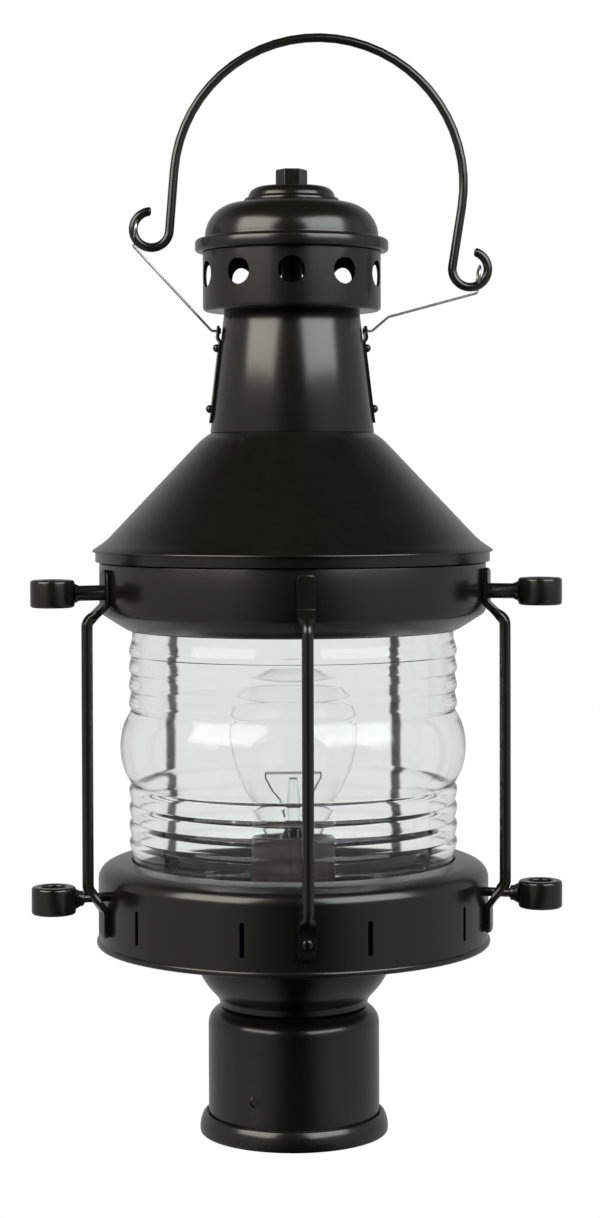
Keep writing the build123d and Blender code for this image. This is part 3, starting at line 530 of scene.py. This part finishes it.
def drawn(bm, stations, segments=20):
    # bar extruded from station to station
    made = bmesh.ops.create_circle(bm, segments=segments, radius=1)["verts"]
    place = crossing(stations[0])
    for point in made:
        point.co = place @ onSection(atan2(point.co.y, point.co.x), stations[0][5])
    ring = list({edge for point in made for edge in point.link_edges})
    ends = [ring]
    for station in stations[1:]:
        back = place.inverted()
        place = crossing(station)
        grown = bmesh.ops.extrude_edge_only(bm, edges=ring)["geom"]
        for point in grown:
            if isinstance(point, bmesh.types.BMVert):
                local = back @ point.co
                point.co = place @ onSection(atan2(local.y, local.x), station[5])
                made.append(point)
        fresh = set(grown)
        ring = [e for e in grown if isinstance(e, bmesh.types.BMEdge) and e.verts[0] in fresh
                and e.verts[1] in fresh]
    ends.append(ring)
    for end in ends:
        bmesh.ops.edgeloop_fill(bm, edges=end)
    bmesh.ops.recalc_face_normals(bm, faces=[face for face in bm.faces if face.verts[0] in set(made)])
    return made


def rounds(stations):
    # round sections, each station (x, z, heading, width)
    return [(x, z, heading, width, width, 0) for x, z, heading, width in stations]


def around(azimuth):
    # turn about the lantern's axis, azimuth counted from the right-hand side
    return Matrix.Rotation(radians(azimuth), 4, "Z")


def drill(bm, radius, azimuth, out, up, depth=14):
    place = around(azimuth) @ Matrix.Translation((out, 0, up)) @ Matrix.Rotation(pi / 2, 4, "Y")
    bmesh.ops.create_cone(bm, cap_ends=True, segments=48, radius1=radius, radius2=radius,
                          depth=depth, matrix=place)


def pierced(bm, cutter, ease=0.3):
    # takes the cutter's closed shapes out of a piece and eases the edges they leave
    shapes = []
    for label, source in (("blank", bm), ("cutter", cutter)):
        mesh = bpy.data.meshes.new(label)
        source.to_mesh(mesh)
        source.free()
        shape = bpy.data.objects.new(label, mesh)
        scene.collection.objects.link(shape)
        shapes.append(shape)
    blank, tool = shapes
    cut = blank.modifiers.new("cut", "BOOLEAN")
    cut.object = tool
    cut.solver = "EXACT"
    holed = bmesh.new()
    holed.from_object(blank, bpy.context.evaluated_depsgraph_get())
    for shape in shapes:
        bpy.data.meshes.remove(shape.data)
    if ease:
        rims = [edge for edge in holed.edges if len(edge.link_faces) == 2
                and edge.calc_face_angle() > radians(50)]
        bmesh.ops.bevel(holed, geom=rims, offset=ease, affect="EDGES", segments=2, profile=0.5,
                        material=-1, clamp_overlap=True)
    return holed


def piece(name, bm, body, coat, *nodes, crease=40, weigh=False):
    bmesh.ops.scale(bm, vec=(0.001, 0.001, 0.001), verts=bm.verts)
    mesh = bpy.data.meshes.new(name)
    bm.to_mesh(mesh)
    bm.free()
    for face in mesh.polygons:
        face.use_smooth = True
    mesh.set_sharp_from_angle(angle=radians(crease))
    mesh.materials.append(slotFinish[coat])
    made = bpy.data.objects.new(name, mesh)
    scene.collection.objects.link(made)
    if weigh:
        even = made.modifiers.new("evenNormals", "WEIGHTED_NORMAL")
        even.keep_sharp = True
        even.weight = 100
    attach(made, body)
    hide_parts(*nodes)
    return made


# post fitter, bowl and pan

fitter = {"bore": 38.5, "outer": 40.0, "hem": 44.0, "height": 59.4, "shoulder": 8.3,
          "hole": 2.7, "holeUp": 21.5}
fitterCup = turned([
    (fitter["bore"], 0, 0.7),
    (fitter["hem"], 0, 1.4),
    (fitter["hem"], 5.4, 2.2),
    (fitter["hem"] - 1.9, 9.6, 0.9),
    (fitter["outer"] + 0.7, 9.6, 0.3),
    (fitter["outer"] + 0.7, 8.2, 0.3),
    (fitter["outer"], 8.2, 0.2),
    (fitter["outer"], fitter["height"], fitter["shoulder"]),
    (5.25, fitter["height"], 0.3),
    (5.25, fitter["height"] - 1.5, 0.3),
    (fitter["bore"], fitter["height"] - 1.5, fitter["shoulder"] - 1.5),
])
holes = bmesh.new()
for i in range(3):
    drill(holes, fitter["hole"], -120 + 120 * i, fitter["outer"], fitter["holeUp"])
piece("fitterCup", pierced(fitterCup, holes), "lantern", "black_enamel", "post_fitter", weigh=True)

bowl = walled([(5.25, 59.42, 0), (34.6, 59.42, 1.2), (34.6, 62.6, 1.9), (42.6, 71.4, 5.0),
               (46.0, 79.75, 0)], 1.2)
piece("bowlNeck", turned(bowl), "lantern", "black_enamel", "bowl_neck")

pan = walled([(5.25, 79.8, 0), (48.0, 79.8, 3.0), (89.9, 88.8, 1.0), (89.9, 92.8, 0)], 1.2)
piece("flaredPan", turned(pan, 192), "lantern", "black_enamel", "base_pan")
print("fitter, bowl and pan made")


# lower gallery with its air slots

gallery = {"outer": 91.1, "inner": 89.9, "foot": 88.8, "corner": 123.4, "top": 128.6,
           "slots": 10, "slotUp": 105.2, "slotWide": 2.3, "slotTall": 15.6}
galleryShell = turned([
    (gallery["inner"], gallery["foot"], 0.4),
    (gallery["outer"] + 0.9, gallery["foot"], 1.4),
    (gallery["outer"] + 0.9, gallery["foot"] + 3.0, 1.3),
    (gallery["outer"], gallery["foot"] + 3.0, 0.4),
    (gallery["outer"], gallery["corner"], 3.4),
    (85.5, gallery["corner"] + 3.8, 3.2),
    (75.5, gallery["top"], 0.5),
    (75.5, gallery["top"] - 1.2, 0.4),
    (85.2, gallery["corner"] + 2.5, 2.9),
    (gallery["inner"], gallery["corner"] - 0.7, 2.6),
], 192)
slots = bmesh.new()
for i in range(gallery["slots"]):
    corners = bmesh.ops.create_cube(slots, size=1)["verts"]
    bmesh.ops.scale(slots, vec=(12, gallery["slotWide"], gallery["slotTall"]), verts=corners)
    lengthwise = {edge for corner in corners for edge in corner.link_edges
                  if abs(edge.verts[0].co.x - edge.verts[1].co.x) > 1}
    rounded = bmesh.ops.bevel(slots, geom=list(lengthwise), offset=1.1, affect="EDGES", segments=4,
                              profile=0.5, material=-1)
    ends = {corner for face in rounded["faces"] for corner in face.verts}
    place = (around(-90 + 36 * (i + 0.5))
             @ Matrix.Translation((gallery["outer"], 0, gallery["slotUp"])))
    bmesh.ops.transform(slots, matrix=place, verts=list(ends))
piece("slottedGallery", pierced(galleryShell, slots, 0), "lantern", "black_enamel",
      "lower_gallery", weigh=True)
print("gallery made")


# pressed lens glass

lens = {"plain": 75.0, "wall": 3.2, "foot": 111.2, "top": 244.4, "beltUp": 181.2, "beltHalf": 17.4,
        "belt": 80.2, "pitch": 8.2, "ribs": 4, "valley": 75.5, "crest": 76.9, "lead": 0.26,
        "follow": 1.2}


def lensSide(inset):
    # one face of the lens from its foot up, ribs below and above the belt
    foot = lens["beltUp"] - lens["beltHalf"] - lens["ribs"] * lens["pitch"]
    side = [(lens["plain"] - inset, foot, 0.8)]
    middle = [(lens["belt"] + 4.4 - inset, lens["beltUp"], 14.5)]
    upper = [(lens["plain"] - inset, 2 * lens["beltUp"] - foot, 0.8)]
    for i in reversed(range(lens["ribs"])):
        offset = lens["beltHalf"] + i * lens["pitch"]
        crest = offset + lens["pitch"] * lens["lead"]
        side.append((lens["crest"] - inset * lens["follow"], lens["beltUp"] - crest, 1.5))
        side.append((lens["valley"] - inset, lens["beltUp"] - offset, 0.8))
        upper.append((lens["crest"] - inset * lens["follow"], lens["beltUp"] + crest, 1.5))
        upper.append((lens["valley"] - inset, lens["beltUp"] + offset, 0.8))
    return side + middle + upper[::-1]


outerSide = [(lens["plain"], lens["foot"], 0.6)] + lensSide(0) + [(lens["plain"], lens["top"], 0.8)]
innerSide = [(lens["plain"] - lens["wall"], lens["foot"], 0.6)] + lensSide(lens["wall"])
innerSide.append((lens["plain"] - lens["wall"], lens["top"], 0.8))
piece("ribbedLens", turned(outerSide + innerSide[::-1], 256), "lantern", "lens_glass", "lens_glass",
      crease=70)
print("lens made")


# upper band with its funnel-shaped underside

band = walled([(76.3, 240.8, 0), (76.3, 235.0, 2.2), (90.2, 243.8, 2.0), (90.2, 266.9, 0.6),
               (80.0, 266.9, 0)], 1.2)
piece("upperBand", turned(band, 192), "lantern", "black_enamel", "upper_band")


# guard bars

bar = {"out": 100.4, "round": 5.2, "wide": 8.2, "thick": 3.0, "square": 0.82, "bend": 4.5,
       "upperWall": 91.7, "upperTip": 264.7, "upperKnee": 248.7, "upperBend": 240.7,
       "lowerWall": 92.6, "lowerTip": 97.0, "lowerKnee": 109.0, "lowerBend": 119.6}


def barEnd(wall, tip, knee, bend):
    # corners from a lug's rounded tip, over its knee, to the bend of the round bar
    side = 1 if tip > knee else -1
    wide, thick, square = bar["wide"], bar["thick"], bar["square"]
    corners = [
        (wall, tip, 0, wide * 0.50, thick * 0.6, 0.4),
        (wall, tip - side * 0.35, 0, wide * 0.70, thick * 0.88, 0.6),
        (wall, tip - side * 1.1, 0, wide * 0.88, thick, 0.75),
        (wall, tip - side * 2.4, 0, wide, thick, square),
        (wall, knee, 2.6, wide, thick, square),
    ]
    for share, flat in ((0.36, 1.0), (0.50, 0.75), (0.64, 0.3), (0.76, 0.0)):
        corners.append((wall + (bar["out"] - wall) * share, knee + (bend - knee) * share, 0,
                        bar["round"] + (wide - bar["round"]) * flat,
                        bar["round"] + (thick - bar["round"]) * flat, square * flat))
    corners.append((bar["out"], bend, bar["bend"], bar["round"], bar["round"], 0))
    return corners


for number in range(5):
    corners = barEnd(bar["upperWall"], bar["upperTip"], bar["upperKnee"], bar["upperBend"])
    corners += barEnd(bar["lowerWall"], bar["lowerTip"], bar["lowerKnee"], bar["lowerBend"])[::-1]
    guard = bmesh.new()
    drawn(guard, bent(corners), 24)
    bmesh.ops.transform(guard, matrix=around(-90 + 72 * number), verts=guard.verts)
    piece(f"guardBar{number + 1}", guard, "lantern", "black_enamel", f"guard_bar_{number + 1}",
          crease=50)
print("band and guard bars made")


# lashing eyes on the two bars beside the front one

eye = {"outer": 10.0, "hole": 5.5, "half": 6.25, "out": 116.6, "lower": 115.6, "upper": 254.2,
       "stem": 7.0, "stud": 4.2, "inward": 7.2}
for number, side in ((1, "right"), (4, "left")):
    for level, wall, shoulder in (("lower", 89.9, 103.2), ("upper", 89.0, 93.2)):
        ring = turned([(eye["hole"], -eye["half"], 0.8), (eye["outer"], -eye["half"], 1.3),
                       (eye["outer"], eye["half"], 1.3), (eye["hole"], eye["half"], 0.8)], 64)
        bmesh.ops.transform(ring, matrix=Matrix.Translation((eye["out"], 0, 0)), verts=ring.verts)
        stem = [(shoulder - 0.4, 0, 0, eye["stem"] - 1.0), (shoulder, 0, 0, eye["stem"]),
                (eye["out"] - eye["outer"] - 2.4, 0, 0, eye["stem"]),
                (eye["out"] - eye["outer"] + 0.6, 0, 0, eye["stem"] + 3.0)]
        drawn(ring, rounds(stem), 32)
        stud = [(wall - eye["inward"], 0, 0, 3.0),
                (wall - eye["inward"] + 0.6, 0, 0, eye["stud"]), (shoulder, 0, 0, eye["stud"])]
        drawn(ring, rounds(stud), 24)
        place = around(-90 + 72 * number) @ Matrix.Translation((0, 0, eye[level]))
        bmesh.ops.transform(ring, matrix=place, verts=ring.verts)
        piece(f"{level}{side.capitalize()}Eye", ring, "lantern", "black_enamel",
              f"eye_bolt_{level}_{side}", crease=50)


# slotted screws at the feet of the other bars

screw = {"head": 2.4, "proud": 1.5, "slot": 0.7, "shank": 3.2, "length": 6.8, "out": 94.1,
         "up": 104.2}
screws = bmesh.new()
for number in (0, 2, 3):
    head = turned([(0, 0, 0), (screw["head"], 0, 0.25), (screw["head"], screw["proud"], 1.2),
                   (0, screw["proud"], 0)], 40)
    blade = bmesh.new()
    bmesh.ops.create_cube(blade, size=1, matrix=Matrix.Translation((0, 0, screw["proud"]))
                          @ Matrix.Diagonal((6, screw["slot"], 1.3, 1)))
    head = pierced(head, blade, 0)
    drawn(head, rounds([(0, -screw["length"], pi / 2, screw["shank"]),
                        (0, 0.2, pi / 2, screw["shank"])]), 20)
    tilt = Matrix.Rotation(radians(20 + 50 * number), 4, "Z")
    place = (around(-90 + 72 * number) @ Matrix.Translation((screw["out"], 0, screw["up"]))
             @ Matrix.Rotation(pi / 2, 4, "Y"))
    bmesh.ops.transform(head, matrix=place @ tilt, verts=head.verts)
    spare = bpy.data.meshes.new("screw")
    head.to_mesh(spare)
    head.free()
    screws.from_mesh(spare)
    bpy.data.meshes.remove(spare)
piece("footScrews", screws, "lantern", "black_enamel", "foot_screws", weigh=True)
print("eyes and screws made")


# roof cone with its rim, and the chimney

roofOutline = [
    (36.4, 333.8, 0.3), (37.2, 327.6, 0.8), (42.5, 324.0, 2.6), (87.0, 277.0, 3.2),
    (93.4, 272.7, 0.35), (93.4, 271.9, 0.35), (92.0, 271.8, 0.3), (92.0, 267.25, 0.4),
    (90.9, 267.25, 0.4), (90.9, 272.4, 0.4), (86.4, 276.2, 3.0), (41.8, 323.2, 2.2),
    (36.2, 327.0, 0.6), (35.4, 333.8, 0.3),
]
piece("roofCone", turned(roofOutline, 192), "roof", "black_enamel", "roof_cone")

chimneyOutline = walled([(38.22, 327.2, 0), (30.96, 388.6, 0)], 1.0)
piece("chimneyPipe", turned(chimneyOutline), "roof", "black_enamel", "chimney")


# vent cap: collar with round holes, dome, disc and finial

cap = {"collar": 41.5, "foot": 383.6, "top": 411.2, "holes": 10, "hole": 6.1, "holeUp": 400.4,
       "clock": -3.8}
collarOutline = walled([(31.6, cap["foot"], 0), (cap["collar"], cap["foot"], 2.0),
                        (cap["collar"], cap["top"], 0)], 1.0)
vents = bmesh.new()
for i in range(cap["holes"]):
    drill(vents, cap["hole"], -90 + cap["clock"] + 36 * i, cap["collar"], cap["holeUp"])
piece("ventCollar", pierced(turned(collarOutline, 180), vents, 0.3), "roof", "black_enamel",
      "vent_collar", weigh=True)

domeOutline = walled([(41.2, 411.2, 0), (45.1, 411.2, 1.5), (45.1, 417.3, 1.9), (40.5, 417.3, 0.9),
                      (40.1, 433.9, 15.2), (5.1, 433.9, 0)], 1.0)
piece("ventDome", turned(domeOutline), "roof", "black_enamel", "vent_dome")

discOutline = [(5.1, 433.9, 0.2), (22.2, 433.9, 0.5), (22.2, 436.4, 1.2), (20.3, 436.4, 0.6),
               (19.6, 441.5, 4.8), (5.1, 441.5, 0.3)]
piece("topDisc", turned(discOutline, 112), "roof", "black_enamel", "top_disc")

nut = {"corner": 7.5, "foot": 441.9, "height": 7.8, "bore": 4.88, "depth": 5.9}
finial = bmesh.new()
bmesh.ops.create_cone(finial, cap_ends=True, segments=6, radius1=nut["corner"], radius2=nut["corner"],
                      depth=nut["height"],
                      matrix=Matrix.Translation((0, 0, nut["foot"] + nut["height"] / 2)) @ around(30))
upright = [e for e in finial.edges if abs(e.verts[0].co.z - e.verts[1].co.z) > 1]
bmesh.ops.bevel(finial, geom=upright, offset=0.45, affect="EDGES", segments=3, profile=0.5, material=-1)
crown = [e for e in finial.edges if min(v.co.z for v in e.verts) > nut["foot"] + nut["height"] - 0.01]
bmesh.ops.bevel(finial, geom=crown, offset=0.9, affect="EDGES", segments=3, profile=0.5, material=-1)
bore = bmesh.new()
bmesh.ops.create_cone(bore, cap_ends=True, segments=40, radius1=nut["bore"], radius2=nut["bore"],
                      depth=2 * nut["depth"], matrix=Matrix.Translation((0, 0, nut["foot"])))
piece("finialNut", pierced(finial, bore, 0.2), "finial", "black_enamel", "finial_nut", weigh=True)
print("roof, chimney and cap made")


# bail: arch, straight legs and open hooks

arch = {"rod": 4.2, "radius": 67.8, "leg": 28.0, "splay": 2.2, "tilt": -6.9, "side": 12.9,
        "up": 443.3, "hook": 8.4, "sweep": 265, "tip": 2.6, "taper": 0.72}


def wander(x, z, heading, steps):
    # stations of a path given as straight runs (length, 0) and arcs (radius, degrees)
    stations = [(x, z, heading)]
    for size, turn in steps:
        if not turn:
            x += size * cos(heading)
            z += size * sin(heading)
            stations.append((x, z, heading))
            continue
        count = max(4, round(abs(turn) / 6))
        side = 1 if turn > 0 else -1
        centre = (x - side * size * sin(heading), z + side * size * cos(heading))
        for k in range(count):
            heading += radians(turn) / count
            x = centre[0] + side * size * sin(heading)
            z = centre[1] - side * size * cos(heading)
            stations.append((x, z, heading))
    return stations


half = wander(0, arch["radius"], 0, [(arch["radius"], -90 - arch["splay"]), (arch["leg"], 0),
                                     (arch["hook"], arch["sweep"])])
whole = [(-x, z, -heading) for x, z, heading in half[:0:-1]] + half
lean = radians(arch["tilt"])
whole = [(x * cos(lean) - z * sin(lean) + arch["side"], x * sin(lean) + z * cos(lean) + arch["up"],
          heading + lean) for x, z, heading in whole]
rod = [(x, z, heading, arch["rod"]) for x, z, heading in whole]
for end, inner in ((0, 1), (-1, -2)):
    x, z, heading, width = rod[end]
    near = rod[inner]
    rod[end] = (x, z, heading, arch["tip"])
    swell = (x + (near[0] - x) * arch["taper"], z + (near[1] - z) * arch["taper"], heading, 4.1)
    rod.insert(1 if end == 0 else len(rod) - 1, swell)
bail = bmesh.new()
drawn(bail, rounds(rod), 24)
piece("bailRod", bail, "bail", "black_enamel", "bail", crease=60)


# wire links: a peened button behind the strap, the wire, and a ring round the hook

link = {"wire": 1.2, "up": 374.6, "button": 33.1, "stub": 37.5, "ring": 4.3, "bend": 1.6}
grips = {"left": (-72.709, 421.764), "right": (87.7185, 400.832)}
rise = atan2(grips["right"][1] - grips["left"][1], grips["right"][0] - grips["left"][0])
bends = {"left": [(grips["left"][0] - 1.2, grips["left"][1] - 7.6)],
         "right": [(45.3, link["up"] + 6.6), (grips["right"][0] - 0.7, grips["right"][1] - 8.4)]}
for side, sign in (("left", -1), ("right", 1)):
    grip = grips[side]
    route = [(sign * (link["button"] + 0.35), link["up"]), (sign * link["stub"], link["up"])]
    route += bends[side] + [(grip[0], grip[1] - link["ring"])]
    corners = [(x, z, link["bend"] if 0 < i < len(route) - 1 else 0, link["wire"], link["wire"], 0)
               for i, (x, z) in enumerate(route)]
    wire = bmesh.new()
    drawn(wire, bent(corners), 12)
    outward = 0 if sign > 0 else pi
    button = [(sign * (link["button"] + step), link["up"], outward, width)
              for step, width in ((0, 2.2), (0.15, 2.8), (0.7, 2.8))]
    drawn(wire, rounds(button), 24)
    section = bmesh.ops.create_circle(wire, segments=12, radius=link["wire"] / 2)["verts"]
    along = Vector((cos(rise), 0, sin(rise)))
    upward = Vector((-sin(rise), 0, cos(rise)))
    turn = Matrix((along, upward, along.cross(upward))).transposed().to_4x4()
    centre = Vector((grip[0], 0, grip[1]))
    bmesh.ops.transform(wire, matrix=Matrix.Translation(centre - upward * link["ring"]) @ turn,
                        verts=section)
    rim = list({edge for point in section for edge in point.link_edges})
    bmesh.ops.spin(wire, geom=section + rim, cent=centre, axis=along, angle=2 * pi, steps=40,
                   use_merge=True, use_duplicate=False)
    bmesh.ops.recalc_face_normals(wire, faces=wire.faces)
    piece(f"{side}WireLink", wire, f"{side}_link", "link_wire", f"wire_link_{side}", crease=60)
print("bail and links made")


# bulb envelope and filament

bulb = {"neck": 13.4, "wide": 30.0, "foot": 138.0, "top": 216.6, "wall": 0.7}
envelope = walled([(bulb["neck"] - 0.4, bulb["foot"], 0), (bulb["neck"], bulb["foot"] + 4.5, 1.0),
                   (bulb["wide"], 175.6, 11.0), (bulb["wide"], bulb["top"], 29.8),
                   (0, bulb["top"], 0)], bulb["wall"])
piece("bulbEnvelope", turned(envelope, 96), "lantern", "bulb_glass", "bulb_glass", crease=70)

filament = {"spread": 13.0, "up": 168.0, "foot": 152.0, "coil": 0.62, "turns": 34, "thread": 0.16}
threads = bmesh.new()
for sign in (-1, 1):
    lead = [(sign * 4.2, filament["foot"] - 2, 0, 0.9, 0.9, 0),
            (sign * 4.4, filament["foot"], 1.2, 0.9, 0.9, 0),
            (sign * filament["spread"], filament["up"] - 2.0, 1.0, 0.8, 0.8, 0),
            (sign * filament["spread"], filament["up"] + 0.4, 0, 0.7, 0.7, 0)]
    drawn(threads, bent(lead), 10)
start = Vector((-filament["spread"], 0, filament["up"] + filament["coil"]))
thread = bmesh.ops.create_circle(threads, segments=6, radius=filament["thread"],
                                 matrix=Matrix.Translation(start))["verts"]
rim = list({edge for point in thread for edge in point.link_edges})
count = filament["turns"] * 10
bmesh.ops.spin(threads, geom=thread + rim, cent=(start.x, 0, filament["up"]), axis=(1, 0, 0),
               dvec=(2 * filament["spread"] / count, 0, 0), angle=2 * pi * filament["turns"],
               steps=count, use_duplicate=False)
bmesh.ops.recalc_face_normals(threads, faces=threads.faces)
piece("filamentCoil", threads, "lantern", "filament_wire", "bulb_filament", crease=60)
print("bulb made")
